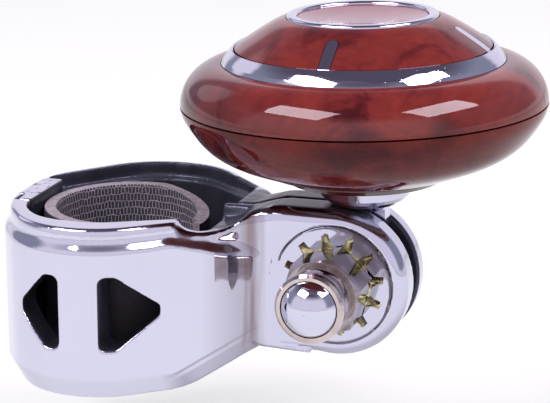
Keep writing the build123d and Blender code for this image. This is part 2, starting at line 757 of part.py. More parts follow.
def dome_cover():
    """Domed cover with slots for the spokes and the recess for cap ring and inlay."""
    body = dome_solid(0.0, ledge_height)
    inner = dome_solid(-dome_wall - 0.4, ledge_height - 1)
    body -= inner & (Pos(0, 0, ledge_height) * Cylinder(trim_foot - dome_wall - 0.1, 60))
    body += Pos(0, 0, recess_floor - dome_wall / 2) * Cylinder(cap_ring_radius + 2.2, dome_wall)
    body = body & dome_solid(0.0, ledge_height)
    body -= Pos(0, 0, recess_floor + 5) * Cylinder(cap_ring_radius + trim_gap, 10)
    under = dome_solid(-spoke_depth - 0.02, ledge_height)
    for bar in spoke_cutter(spoke_width, spoke_tip, ledge_height + 1):
        body -= bar - under
    return lean(Pos(spindle_offset, 0, 0) * body)


def cap_ring():
    """Rounded plated ring around the inlay."""
    top = dome_top + cap_ring_rise
    ring = Pos(0, 0, (recess_floor + top) / 2) * (
        Cylinder(cap_ring_radius, top - recess_floor) - Cylinder(cap_ring_inner, 10))
    ring = fillet(ring.edges().filter_by(GeomType.CIRCLE).group_by(Axis.Z)[-1], 0.55)
    return lean(Pos(spindle_offset, 0, 0) * ring)


def cap_inlay():
    """Shallow dished disc in the middle of the cap ring."""
    radius = cap_ring_inner - 0.05
    edge = dome_top + 0.05
    ball = (radius ** 2 + inlay_dish ** 2) / (2 * inlay_dish)
    disc = Pos(0, 0, (recess_floor + edge) / 2) * Cylinder(radius, edge - recess_floor)
    disc -= Pos(0, 0, edge - inlay_dish + ball) * Sphere(ball)
    return lean(Pos(spindle_offset, 0, 0) * disc)


PIECES = {
    "clamp_front_half": clamp_front_half,
    "clamp_rear_half": clamp_rear_half,
    "rim_liner": rim_liner,
    "pivot_bolt": pivot_bolt,
    "pivot_nut": pivot_nut,
    "nut_locking_ring": nut_locking_ring,
    "nut_dome_cap": nut_dome_cap,
    "front_tooth_washer": lambda: tooth_washer(washer_front_y, -1),
    "rear_tooth_washer": lambda: tooth_washer(washer_rear_y, 1),
    "front_friction_washer": lambda: friction_ring(-1),
    "rear_friction_washer": lambda: friction_ring(1),
    "stem": stem,
    "bearing_inner_race": bearing_inner_race,
    "bearing_outer_race": bearing_outer_race,
    "bearing_balls": bearing_balls,
    "bearing_shields": bearing_shields,
    "bearing_snap_ring": bearing_snap_ring,
    "end_washer": end_washer,
    "end_screw": end_screw,
    "knob_lower_shell": knob_lower_shell,
    "knob_boss": knob_boss,
    "knob_upper_shell": knob_upper_shell,
    "shell_screws": shell_screws,
    "trim_ring": trim_ring,
    "dome_cover": dome_cover,
    "cap_ring": cap_ring,
    "cap_inlay": cap_inlay,
}

os.makedirs("parts", exist_ok=True)
for name, make in PIECES.items():
    export_step(make(), os.path.join("parts", name + ".step"))
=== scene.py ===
import math
import random

import bmesh
import bpy
from bpy.props import FloatProperty, FloatVectorProperty, IntProperty, PointerProperty
from mathutils import Matrix, Vector


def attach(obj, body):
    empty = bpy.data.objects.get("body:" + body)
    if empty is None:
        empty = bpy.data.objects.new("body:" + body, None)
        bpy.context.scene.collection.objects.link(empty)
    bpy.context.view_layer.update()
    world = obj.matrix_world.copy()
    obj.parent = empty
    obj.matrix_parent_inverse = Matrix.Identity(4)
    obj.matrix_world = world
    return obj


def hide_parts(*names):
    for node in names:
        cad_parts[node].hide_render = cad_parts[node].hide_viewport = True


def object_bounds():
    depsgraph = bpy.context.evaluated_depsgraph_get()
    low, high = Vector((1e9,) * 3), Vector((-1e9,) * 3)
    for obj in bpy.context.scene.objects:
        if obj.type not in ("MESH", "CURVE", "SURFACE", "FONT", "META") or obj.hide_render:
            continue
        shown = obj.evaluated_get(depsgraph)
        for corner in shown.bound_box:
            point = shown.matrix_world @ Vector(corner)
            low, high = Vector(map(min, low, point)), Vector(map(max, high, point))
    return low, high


bl_info = {
    "name": "Steering wheel spinner knob",
    "version": (1, 0, 0),
    "blender": (4, 5, 0),
    "location": "View3D > Sidebar > Spinner",
    "description": "Chromed clamp, folding stem and burl-look swivel knob",
    "category": "Add Mesh",
}

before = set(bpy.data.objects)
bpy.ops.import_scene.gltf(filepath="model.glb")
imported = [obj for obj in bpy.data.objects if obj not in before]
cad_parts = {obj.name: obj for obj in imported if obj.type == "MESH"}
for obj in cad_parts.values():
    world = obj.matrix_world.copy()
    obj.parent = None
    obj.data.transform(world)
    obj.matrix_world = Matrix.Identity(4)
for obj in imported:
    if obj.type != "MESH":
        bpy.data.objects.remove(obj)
CAD_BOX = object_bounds()
MM = 0.001
SAME_POINT = 1e-6           # points nearer to each other than this are one

# Heights of the fine relief in the finishes, in metres
RIPPLE = 0.00002
DRAWN_STREAKS = 0.0006
CAST_GRAIN = 0.00006
CROWNING = 0.00024
MOULDED_PEEL = 0.000012
DUST_FLECK = 0.00001
BRUSHED_LINES = 0.000008
RAISED_MESH = 0.00018
RUBBER_GRAIN = 0.00005

# Painted zones of the clamp, in metres: where one starts and is full, then, for a band, where its full
# part ends and where it stops. FACING zones are for the normal, or for the normal times the place.
# Painted shade: the plating darker towards the ears
EARWARD_SHADE_X = (0.018, 0.030)
# Painted shade on faces turned downwards
UNDERSIDE_SHADE_X = (0.0120, 0.0150)
UNDERSIDE_SHADE_FACING = (-0.20, -0.42)
VALLEY_X = (0.0150, 0.0200, 0.0270, 0.0290)
VALLEY_Z = (-0.0080, -0.0020)
# Painted shade in the valley before the ears
VALLEY_SHADE_X = (0.0180, 0.0252, 0.0260, 0.0275)
# Painted reflection of the nut and washers, streaked, in the valley's corner
VALLEY_REFLECTION_X = (0.0232, 0.0246, 0.0264, 0.0280)
BORE_X = (0.0245, 0.0240)
BORE_Z = (0.01535, 0.0153)
BORE_FACING = (-0.0005, -0.002)
EARS_X = (0.0180, 0.0200)
EARS_FACING = (-0.0004, -0.0012)
HOOK_X = (-0.0150, -0.0165)
HOOK_Z = (0.0138, 0.0142)
HOOK_MIDDLE_Y = -0.0015
HOOK_REACH_Y = (0.0070, 0.0050)
WINDOWS_X = (0.0127, 0.0125)
WINDOWS_Y = (-0.0150, -0.0155)
WINDOWS_MIDDLE_Z = 0.0003
WINDOWS_REACH_Z = (0.0068, 0.0066)
WINDOWS_FACING = (0.0185, 0.0165)
DIP_X = (0.0165, 0.0180, 0.0265, 0.0285)
DIP_FRONT_Y = (-0.0076, -0.0068)
DIP_REAR_Y = (0.0095, 0.0085)
DIP_Z = (0.0118, 0.0124)
WEB_X = (0.0165, 0.0185, 0.044, 0.047)
WEB_Z = (0.0105, 0.0112)
WEB_MIDDLE_Y = 0.0005
WEB_NARROWS = (0.022, 0.028, 0.0092, 0.0064)      # from one half width to the other between two X
WEB_EDGE = (0.0004, -0.0004)
WEB_FACING = (0.30, 0.60)
# Painted reflection of the maroon boss on the stem's flare
BOSS_REFLECTION_X = (0.0450, 0.0425)
BOSS_REFLECTION_Z = (0.0150, 0.0160)
COLLAR_Y = (-0.0160, -0.0164)
# Painted shade on the knob's left side
KNOB_SHADE_X = (0.045, 0.020)

# Colours that belong to one mark
PIT_GREY = (0.25, 0.24, 0.27)
# Painted shade in the valley before the ears
VALLEY_SHADE_COLOUR = (0.27, 0.25, 0.29)
# Painted reflection of the nut and washers in the valley's corner
VALLEY_REFLECTION_COLOUR = (0.22, 0.17, 0.17)
# Painted reflection of the maroon boss on the stem's flare
BOSS_REFLECTION_COLOUR = (0.10, 0.03, 0.04)
HEXAGON_LIGHT = (0.30, 0.28, 0.30)
HEXAGON_DARK = (0.15, 0.12, 0.12)
NICKEL_DARK = (0.40, 0.33, 0.32)
ZINC_BROWN = (0.13, 0.10, 0.045)
ZINC_STRAW = (0.72, 0.70, 0.50)
CUT_LIGHT = (0.46, 0.40, 0.44)
CUT_DARK = (0.22, 0.18, 0.21)

# Stage, in metres and degrees
LAMP_TINT = (0.95, 0.90, 1.0)
LAMP_SIZE = (0.62, 0.38)
LAMP_RISE = 52
LAMP_DISTANCE = 1.0
LEFT_HEADING = -40
RIGHT_HEADING = 82
CAMERA_TARGET = (0.02704, 0, 0.01606)
CAMERA_HEADING = 17.254
CAMERA_RISE = 15.064
CAMERA_DISTANCE = 0.40004
CAMERA_LENS = 147.0
CAMERA_SENSOR = 36.0
FLOOR_SIZE = 3.0
FLOOR_GLOW = 0.58
FILL_TINT = (0.95, 0.95, 1.0, 1.0)
BACKDROP_WAY = (-0.12, 0.993, 0.0)
BACKDROP_EDGE = (0.74, 0.86)
WINDOW_WAY = (-0.80, 0.42, 0.43)
WINDOW_EDGE = (0.965, 0.985)
FRONT_EDGE_Y = (-0.20, -0.55)
SIDES_EDGE_Z = (0.02, 0.10)
FRONT_EDGE_Z = (0.50, 0.78)
CEILING_EDGE_Z = (0.50, 0.85)


# Property groups

def length(name, description, default):
    return FloatProperty(name=name, description=description, default=default)


def colour(name, description, default):
    return FloatVectorProperty(name=name, description=description, subtype="COLOR", size=3,
                               default=default)


class ClampSizes(bpy.types.PropertyGroup):
    """Sizes of the clamp and of the pieces made new for it, in millimetres."""
    pivot_x: length("Pivot X", "Bore axis to bolt axis", 40.0)
    pivot_z: length("Pivot Z", "Bolt axis above the middle of the ring", 4.0)
    half_height: length("Half height", "Half the height of the ring", 15.4)
    ear_radius: length("Ear radius", "Round end of the ears", 13.2)
    ear_front: length("Front ear", "Bore plane to the outside of the front ear", 8.05)
    ear_rear: length("Rear ear", "Bore plane to the outside of the rear ear", 7.0)
    ear_round: length("Ear rounding", "Rounding of the ears' outer edges", 2.4)
    slant_end_x: length("Slant end X", "Where the slanted underside meets the ears", 26.7)
    slant_end_z: length("Slant end Z", "Height where the slant meets the ears", -8.8)
    crease_height: length("Crease height", "Slanted underside up to the crease over it", 3.2)
    grain: length("Mesh grain", "Mesh size of the castings", 0.32)
    low_corner: FloatVectorProperty(name="Low corner", size=3, default=(-21.798, -31.9, -15.398),
                                    description="Lowest X, Y and Z that the castings reach")
    strip_outer: length("Strip outside", "Outer radius of the rubber strip", 16.0)
    strip_inner: length("Strip inside", "Inner radius of the rubber strip", 13.6)
    strip_half: length("Strip half height", "Half the height of the rubber strip", 14.0)
    strip_end: FloatProperty(name="Strip end", description="Angle that the strip covers", default=338.0)
    strip_flap: length("Strip flap", "Thickness of the outer layer that runs on", 1.2)
    strip_flap_turn: FloatProperty(name="Flap turn", description="Angle that the flap runs on", default=9.0)
    cell_width: length("Cell width", "Width of a cell in the rubber mesh", 0.70)
    cell_height: length("Cell height", "Height of a cell in the rubber mesh", 1.4)
    washer_radius: length("Washer radius", "Outer radius of the tooth washers", 9.1)
    washer_root: length("Washer root", "Radius where the teeth start", 6.8)
    washer_bore: length("Washer bore", "Inner radius of the tooth washers", 4.3)
    washer_teeth: IntProperty(name="Washer teeth", description="Number of teeth", default=12)
    washer_front: length("Front washer", "Middle of the front washer", -7.75)
    washer_rear: length("Rear washer", "Middle of the rear washer", 6.7)


class Finishes(bpy.types.PropertyGroup):
    """Colours of the finishes."""
    chrome: colour("Chrome", "Plated metal", (0.60, 0.60, 0.71))
    cast: colour("Bare casting", "Dull metal inside the clamp", (0.040, 0.041, 0.056))
    burl_mid: colour("Burl", "Main colour of the burl", (0.150, 0.016, 0.017))
    burl_light: colour("Burl light", "Lighter figure of the burl", (0.25, 0.032, 0.024))
    # Also the painted shade on the knob's left side
    burl_dark_and_shade: colour("Burl dark", "Dark eyes of the burl", (0.035, 0.004, 0.005))
    web: colour("Rubber web", "Raised mesh of the strip", (0.78, 0.70, 0.78))
    cell: colour("Rubber cell", "Hollows of the mesh", (0.070, 0.062, 0.085))
    zinc: colour("Yellow zinc", "Passivated tooth washers", (0.55, 0.50, 0.26))
    nickel: colour("Nickel", "Collar of the nut", (0.62, 0.55, 0.54))


class StudioSettings(bpy.types.PropertyGroup):
    """Light and room."""
    lamp_level: FloatProperty(name="Lamp level", description="Radiance of both softboxes", default=9.2)
    fill_level: FloatProperty(name="Fill level", description="World light on matt surfaces", default=0.25)
    wall: colour("Walls", "Room as metal sees it", (1.0, 0.94, 1.06))
    upper: colour("Upper walls", "Room above the table as metal sees it", (0.34, 0.35, 0.45))
    ceiling: colour("Ceiling", "Darker ceiling as metal sees it", (0.13, 0.105, 0.15))
    floor: colour("Floor", "Colour of the floor", (0.50, 0.50, 0.50))
    floor_drop: length("Floor drop", "Room under the clamp that the folded knob needs", 17.8)


def settings():
    scene = bpy.context.scene
    return scene.clamp_sizes, scene.finishes, scene.studio


# Materials

class Shader:
    """Small builder for one procedural material."""

    def __init__(self, name):
        self.material = bpy.data.materials.new(name)
        self.material.use_nodes = True
        self.tree = self.material.node_tree
        self.tree.nodes.clear()
        self.output = self.tree.nodes.new("ShaderNodeOutputMaterial")
        self.place = self.node("ShaderNodeTexCoord").outputs["Object"]

    def node(self, kind, **inputs):
        node = self.tree.nodes.new(kind)
        for key, value in inputs.items():
            self.feed(node.inputs[key.replace("_", " ")], value)
        return node

    def feed(self, socket, value):
        if isinstance(value, bpy.types.NodeSocket):
            self.tree.links.new(value, socket)
        elif socket.type == "RGBA":
            socket.default_value = tuple(value)[:3] + (1.0,)
        else:
            socket.default_value = value

    def math(self, operation, a, b=0.0):
        node = self.tree.nodes.new("ShaderNodeMath")
        node.operation = operation
        self.feed(node.inputs[0], a)
        self.feed(node.inputs[1], b)
        return node.outputs[0]

    def times(self, first, *others):
        for other in others:
            first = self.math("MULTIPLY", first, other)
        return first

    def most(self, first, *others):
        for other in others:
            first = self.math("MAXIMUM", first, other)
        return first

    def off(self, value, middle=0.0):
        """How far a value lies from a middle."""
        return self.math("ABSOLUTE", self.math("SUBTRACT", value, middle))

    def stretched(self, scale, vector=None):
        node = self.node("ShaderNodeMapping")
        self.feed(node.inputs["Vector"], vector or self.place)
        node.inputs["Scale"].default_value = scale
        return node.outputs["Vector"]

    def noise(self, scale, detail=3.0, rough=0.5, vector=None, distortion=0.0):
        node = self.node("ShaderNodeTexNoise", Scale=scale, Detail=detail, Roughness=rough,
                         Distortion=distortion)
        self.feed(node.inputs["Vector"], vector or self.place)
        return node.outputs["Fac"]

    def cells(self, scale, vector=None, feature="F1"):
        node = self.node("ShaderNodeTexVoronoi", Scale=scale)
        node.feature = feature
        self.feed(node.inputs["Vector"], vector or self.place)
        return node.outputs["Distance"]

    def span(self, value, low, high, to_low=0.0, to_high=1.0):
        """Value from one range put into another, held at both ends."""
        node = self.node("ShaderNodeMapRange", Value=value)
        node.inputs["From Min"].default_value = low
        node.inputs["From Max"].default_value = high
        node.inputs["To Min"].default_value = to_low
        node.inputs["To Max"].default_value = to_high
        return node.outputs["Result"]

    def band(self, value, start, full, last, end):
        """One from full to last, none before start and after end."""
        return self.times(self.span(value, start, full), self.span(value, end, last))

    def mix(self, factor, a, b):
        node = self.tree.nodes.new("ShaderNodeMix")
        node.data_type = "RGBA"
        self.feed(node.inputs[0], factor)
        self.feed(node.inputs[6], a)
        self.feed(node.inputs[7], b)
        return node.outputs[2]

    def bump(self, height, distance, strength=1.0, normal=None):
        node = self.node("ShaderNodeBump", Height=height, Distance=distance, Strength=strength)
        if normal:
            self.feed(node.inputs["Normal"], normal)
        return node.outputs["Normal"]

    def axes(self, vector):
        node = self.node("ShaderNodeSeparateXYZ", Vector=vector)
        return node.outputs["X"], node.outputs["Y"], node.outputs["Z"]

    def normal(self):
        return self.node("ShaderNodeNewGeometry").outputs["Normal"]

    def outward(self):
        """Radius times how squarely the surface faces away from the bore axis."""
        x, y, _ = self.axes(self.place)
        nx, ny, _ = self.axes(self.normal())
        return self.math("ADD", self.times(nx, x), self.times(ny, y))

    def principled(self, **inputs):
        shader = self.node("ShaderNodeBsdfPrincipled", **inputs)
        self.tree.links.new(shader.outputs["BSDF"], self.output.inputs["Surface"])
        return self.material


def toned(tint, *factors):
    """Colour times one factor, or times one for each channel."""
    return tuple(c * f for c, f in zip(tint, factors if len(factors) == 3 else factors * 3))


def plated(name, tint, roughness=0.05, ripple=1.0, bare_or_reflected=None, crown=None):
    """Polished plating over cast or turned metal: soft ripples, fine pits, faint smears."""
    s = Shader(name)
    smear = s.noise(45, 4, 0.6)
    wave = s.noise(90, 2, 0.4)
    pit = s.span(s.cells(900), 0.0, 0.10, 1.0, 0.0)
    shade = s.mix(s.span(smear, 0.35, 0.75, 0.0, 0.35), tint, toned(tint, 0.86))
    shade = s.mix(s.times(pit, 0.25), shade, PIT_GREY)
    rough = s.span(smear, 0.3, 0.8, roughness, roughness + 0.06)
    metal = 1.0
    normal = s.bump(pit, RIPPLE, 0.5, s.bump(wave, RIPPLE * ripple))
    if crown:
        normal = crowned(s, normal, *crown)
    # Clamp and stem both get the painted shade and reflection of the valley, then their dark zone: bare
    # casting on the clamp, painted reflection of the boss on the stem
    if bare_or_reflected:
        shade, normal = painted_shade_and_streaks(s, tint, shade, normal)
        dark, bare_or_reflected_colour = bare_or_reflected(s)
        shade = s.mix(dark, shade, bare_or_reflected_colour)
        rough = s.most(rough, s.times(dark, 0.24))
        metal = s.math("SUBTRACT", 1.0, s.times(dark, 0.6))
        grain = s.noise(1600, 2, 0.6)
        normal = s.bump(s.times(grain, dark), CAST_GRAIN, 0.6, normal)
    return s.principled(Base_Color=shade, Metallic=metal, Roughness=rough, Normal=normal,
                        Specular_IOR_Level=0.12)


def crowned(s, normal, axis_x, middle, half):
    """Makes the flat face of a ring look rounded: its axis, middle radius and half width."""
    x, y, _ = s.axes(s.place)
    across = s.math("SUBTRACT", x, axis_x)
    reach = s.math("SQRT", s.math("ADD", s.times(across, across), s.times(y, y)))
    part = s.span(reach, middle - half, middle + half, -1.0, 1.0)
    return s.bump(s.math("SUBTRACT", 1.0, s.times(part, part)), CROWNING, 1.0, normal)


def painted_shade_and_streaks(s, tint, shade, normal):
    """Plating painted darker towards the ears and underneath, drawn streaks in relief in the valley before
    the ears, painted shade there, and a streaked painted reflection of nut and washers in its corner.
    """
    x, _, z = s.axes(s.place)
    # Painted shade: darker towards the ears, and on the stem
    shade = s.mix(s.span(x, *EARWARD_SHADE_X), shade, toned(tint, 0.92, 0.92, 0.94))
    # Painted shade on the downward faces of the slanted underside
    underneath = s.times(s.span(s.axes(s.normal())[2], *UNDERSIDE_SHADE_FACING), s.span(x, *UNDERSIDE_SHADE_X))
    shade = s.mix(underneath, shade, toned(tint, 0.66, 0.65, 0.67))
    valley = s.times(s.band(x, *VALLEY_X), s.span(z, *VALLEY_Z))
    drawn = s.noise(280, 0, 0.5, s.stretched((1, 1, 0.16)))
    normal = s.bump(s.times(drawn, valley), DRAWN_STREAKS, 1.0, normal)
    # Painted shade in the valley before the ears
    shade = s.mix(s.times(s.band(x, *VALLEY_SHADE_X), 0.62), shade, VALLEY_SHADE_COLOUR)
    # Painted reflection of the nut and washers, streaked, in the valley's corner
    reflected_streaks = s.span(s.noise(520, 2, 0.5, s.stretched((1, 1, 0.07))), 0.42, 0.62)
    shade = s.mix(s.times(reflected_streaks, s.band(x, *VALLEY_REFLECTION_X), 0.75), shade, VALLEY_REFLECTION_COLOUR)
    return shade, normal


def inside_clamp(s):
    """Where the casting faces the bore or a window: left bare and dark from the mould."""
    cast = settings()[1].cast
    x, y, z = s.axes(s.place)
    _, ny, nz = s.axes(s.normal())
    facing = s.outward()
    bore = s.times(s.span(facing, *BORE_FACING), s.span(s.off(z), *BORE_Z), s.span(x, *BORE_X))
    between_ears = s.times(s.span(s.times(ny, y), *EARS_FACING), s.span(x, *EARS_X))
    hook = s.times(s.span(x, *HOOK_X), s.span(z, *HOOK_Z), s.span(s.off(y, HOOK_MIDDLE_Y), *HOOK_REACH_Y))
    flakes = s.span(s.noise(520, 4, 0.6), 0.54, 0.60)
    windows = s.times(s.span(s.off(x), *WINDOWS_X), s.span(s.off(z, WINDOWS_MIDDLE_Z), *WINDOWS_REACH_Z),
                      s.span(y, *WINDOWS_Y), s.span(s.off(facing), *WINDOWS_FACING))
    dip = s.times(s.band(x, *DIP_X), s.span(z, *DIP_Z), s.span(y, *DIP_FRONT_Y), s.span(y, *DIP_REAR_Y))
    beyond_web = s.math("SUBTRACT", s.off(y, WEB_MIDDLE_Y), s.span(x, *WEB_NARROWS))
    web = s.times(s.span(nz, *WEB_FACING), s.span(z, *WEB_Z), s.band(x, *WEB_X),
                  s.span(beyond_web, *WEB_EDGE))
    dark = s.most(bore, between_ears, s.times(hook, flakes, 0.9), windows, dip, web)
    streak = s.noise(70, 3, 0.5, s.stretched((1, 1, 0.25)))
    return dark, s.mix(s.span(streak, 0.40, 0.72), cast, toned(cast, 2.6))


def boss_reflection(s):
    """Painted reflection of the maroon boss, with its shade, on the side of the stem's flare under the boss.
    """
    x, _, z = s.axes(s.place)
    return s.times(s.span(x, *BOSS_REFLECTION_X), s.span(z, *BOSS_REFLECTION_Z)), BOSS_REFLECTION_COLOUR


def nut_plating(name):
    """Chromed hexagon, warmer nickel on the collar and its rolled lip."""
    s = Shader(name)
    collar = s.span(s.axes(s.place)[1], *COLLAR_Y)
    cloud = s.noise(150, 4, 0.6)
    warm = s.mix(s.span(cloud, 0.35, 0.7), tuple(settings()[1].nickel), NICKEL_DARK)
    hexagon = s.mix(s.span(cloud, 0.45, 0.6), HEXAGON_LIGHT, HEXAGON_DARK)
    pits = s.span(s.cells(1000), 0.12, 0.0)
    return s.principled(Base_Color=s.mix(collar, hexagon, warm), Metallic=1.0,
                        Roughness=s.span(cloud, 0.3, 0.8, 0.05, 0.14),
                        Normal=s.bump(pits, RIPPLE, 0.5, s.bump(s.noise(160, 2), RIPPLE)))


def burl(name, streaks=1.0, coat=1.50):
    """Glossy moulding with a dark red burl figure under a thick clear coat, painted darker on its left side
    as shade.
    """
    finishes = settings()[1]
    s = Shader(name)
    bend = s.noise(28, 3, 0.6)
    drift = s.node("ShaderNodeCombineXYZ", X=s.times(bend, 0.02), Y=s.times(bend, 0.014),
                   Z=s.times(bend, 0.01))
    flow = s.node("ShaderNodeVectorMath", Vector=s.place)
    flow.operation = "ADD"
    s.feed(flow.inputs[1], drift.outputs["Vector"])
    warped = flow.outputs["Vector"]
    cloud = s.noise(75, 5, 0.62, warped, 0.8)
    grain = s.noise(420, 3, 0.6, s.stretched((1, 1, 3), warped))
    eyes = s.cells(95, warped, "SMOOTH_F1")
    knots = s.times(s.span(eyes, 0.30, 0.12), s.span(s.noise(30, 2), 0.50, 0.62))
    # Painted shade: the knob darker towards its left side, its edge wandering with the figure
    wandering_x = s.math("ADD", s.axes(s.place)[0], s.times(cloud, 0.02))
    left = s.span(wandering_x, *KNOB_SHADE_X, 0.0, 0.78)
    shade = s.mix(s.span(cloud, 0.38, 0.66), finishes.burl_mid, finishes.burl_light)
    for amount in (s.span(cloud, 0.50, 0.34, 0.0, 0.85 * streaks), s.span(grain, 0.35, 0.75, 0.0, 0.30),
                   s.times(knots, 0.85), left):
        shade = s.mix(amount, shade, finishes.burl_dark_and_shade)
    fleck = s.span(s.cells(1400), 0.05, 0.0)
    peel = s.bump(s.noise(140, 2), MOULDED_PEEL)
    return s.principled(Base_Color=shade, Roughness=0.4, Specular_IOR_Level=0.0, Coat_Weight=1.0,
                        Coat_Roughness=0.03, Coat_IOR=coat, Normal=s.bump(fleck, DUST_FLECK, 0.4, peel),
                        Coat_Normal=peel)


def moulded(name, tint, roughness=0.18, coat=0.6):
    """Plain glossy moulding with a faint orange peel and dust."""
    s = Shader(name)
    cloud = s.noise(60, 4, 0.6)
    shade = s.mix(s.span(cloud, 0.35, 0.7), tint, toned(tint, 0.7))
    dust = s.span(s.noise(900, 2, 0.7), 0.68, 0.80, 0.0, 0.25)
    shade = s.mix(dust, shade, tuple(min(c * 1.8 + 0.05, 1.0) for c in tint))
    rough = s.span(cloud, 0.3, 0.8, roughness, roughness + 0.1)
    return s.principled(Base_Color=shade, Roughness=rough, Coat_Weight=coat, Coat_Roughness=0.05,
                        Normal=s.bump(s.noise(160, 2), MOULDED_PEEL))


def brushed(name, tint, roughness=0.28, along=(1, 1, 1)):
    """Ground or stamped steel with fine lines."""
    s = Shader(name)
    lines = s.noise(900, 2, 0.5, s.stretched(along))
    shade = s.mix(s.span(s.noise(160, 3, 0.6), 0.35, 0.7), tint, toned(tint, 0.78))
    rough = s.span(lines, 0.3, 0.7, roughness, roughness + 0.12)
    return s.principled(Base_Color=shade, Metallic=1.0, Roughness=rough,
                        Normal=s.bump(lines, BRUSHED_LINES))


def passivated(name):
    """Yellow zinc plate: patches of olive, straw and brown over sharp stamped steel."""
    s = Shader(name)
    cloud = s.noise(420, 4, 0.65)
    shade = s.mix(s.span(cloud, 0.40, 0.60), tuple(settings()[1].zinc), ZINC_BROWN)
    shade = s.mix(s.span(s.noise(1100, 2), 0.55, 0.7), shade, ZINC_STRAW)
    return s.principled(Base_Color=shade, Metallic=1.0, Roughness=s.span(cloud, 0.3, 0.7, 0.16, 0.34),
                        Normal=s.bump(s.noise(900, 3), RIPPLE))


def rubber_mesh(name):
    """Rubber strip: raised mesh on its inner face, plain and dark outside, rough cut edges."""
    clamp, finishes, _ = settings()
    s = Shader(name)
    uv = s.node("ShaderNodeUVMap").outputs["UV"]
    sway = s.node("ShaderNodeTexNoise", Vector=uv, Scale=0.9, Detail=2.0)
    shift = s.node("ShaderNodeVectorMath", Vector=sway.outputs["Color"])
    shift.operation = "MULTIPLY_ADD"
    shift.inputs[1].default_value = (0.4, 0.9, 0.0)
    s.feed(shift.inputs[2], uv)
    brick = s.node("ShaderNodeTexBrick", Vector=shift.outputs["Vector"], Scale=1.0, Color1=(0, 0, 0),
                   Color2=(0.25, 0.25, 0.25), Mortar=(1, 1, 1), Mortar_Size=0.10, Mortar_Smooth=0.6,
                   Brick_Width=clamp.cell_width, Row_Height=clamp.cell_height)
    brick.offset = 0.5
    facing = s.outward()
    inner = s.span(facing, -0.002, -0.006)
    outer = s.span(facing, 0.004, 0.010)
    speck = s.noise(1500, 3, 0.7)
    web = s.mix(s.span(speck, 0.3, 0.75), finishes.web, toned(finishes.web, 0.55))
    mesh = s.mix(brick.outputs["Fac"], finishes.cell, web)
    edge = s.mix(s.span(speck, 0.35, 0.7), CUT_LIGHT, CUT_DARK)
    shade = s.mix(outer, s.mix(inner, edge, mesh), toned(finishes.cell, 0.6))
    raised = s.bump(s.times(brick.outputs["Fac"], inner), RAISED_MESH)
    return s.principled(Base_Color=shade, Roughness=s.span(speck, 0.2, 0.8, 0.55, 0.85),
                        Normal=s.bump(speck, RUBBER_GRAIN, 0.6, raised))


def dress(material, *nodes):
    """Gives carried-over nodes their finish."""
    for name in nodes:
        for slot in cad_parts[name].material_slots:
            slot.material = material


# Mesh helpers, in millimetres until a piece is finished

def profile_face(points):
    """Flat face in the XZ plane."""
    bm = bmesh.new()
    verts = [bm.verts.new((x, 0, z)) for x, z in points]
    bm.faces.new(verts)
    return bm


def finished(bm, name, material, body, nodes, angle=35):
    """Scales a piece to metres, shades it and hangs it on its body in place of its nodes."""
    bmesh.ops.scale(bm, vec=(MM, MM, MM), verts=bm.verts)
    bmesh.ops.remove_doubles(bm, verts=bm.verts, dist=SAME_POINT)
    bmesh.ops.recalc_face_normals(bm, faces=bm.faces)
    for face in bm.faces:
        face.smooth = True
    for edge in bm.edges:
        edge.smooth = len(edge.link_faces) == 2 and edge.calc_face_angle(0) < math.radians(angle)
    mesh = bpy.data.meshes.new(name)
    bm.to_mesh(mesh)
    bm.free()
    mesh.materials.append(material)
    obj = bpy.data.objects.new(name, mesh)
    bpy.context.scene.collection.objects.link(obj)
    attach(obj, body)
    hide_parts(*nodes)


def steady(value, low, high):
    """Smooth step between two values."""
    part = min(max((value - low) / (high - low), 0.0), 1.0)
    return part * part * (3 - 2 * part)


def ear_edge(x, z):
    """Depth of a point under the outline of the ears, and the way out of it."""
    clamp = settings()[0]
    dx, dz = x - clamp.pivot_x, z - clamp.pivot_z
    reach = math.hypot(dx, dz)
    low = -clamp.ear_radius * 0.9
    if dx >= 0 or dz < low:
        return clamp.ear_radius - reach, (dx / reach, dz / reach)
    if dz > 0:
        shoulder = clamp.ear_radius + clamp.pivot_z
        rise_start, rise_end = 23, 29
        top = shoulder - (shoulder - clamp.half_height) * (1 - steady(x, rise_start, rise_end))
        return top - z, (0.0, 1.0)
    slope = Vector((clamp.slant_end_x - clamp.pivot_x, clamp.slant_end_z - clamp.pivot_z))
    turn = math.atan2(slope.y, slope.x) + math.acos(clamp.ear_radius / slope.length)
    out = (math.cos(turn), math.sin(turn))
    return clamp.ear_radius - (dx * out[0] + dz * out[1]), out


def round_ear(co, face, side):
    """Draws a point near the outer edge of an ear onto a full rounding."""
    clamp = settings()[0]
    neck_start, neck_end = 22.5, 28
    least_radius, stray = 0.1, 0.5
    radius = clamp.ear_round * steady(co.x, neck_start, neck_end)
    inward = (co.y - face) * side
    if radius < least_radius or inward > radius:
        return
    depth, out = ear_edge(co.x, co.z)
    if depth > radius or depth < -stray:
        return
    a, b = radius - inward, radius - depth
    reach = math.hypot(a, b)
    if reach > radius:
        co.y += side * (a - a * radius / reach)
        slip = b - b * radius / reach
        co.x -= out[0] * slip
        co.z -= out[1] * slip


def melt(bm, verts, rounds, upright=True):
    """Softens part of a casting."""
    for _ in range(rounds):
        bmesh.ops.smooth_vert(bm, verts=verts, factor=0.5, use_axis_x=True, use_axis_y=True,
                              use_axis_z=upright)


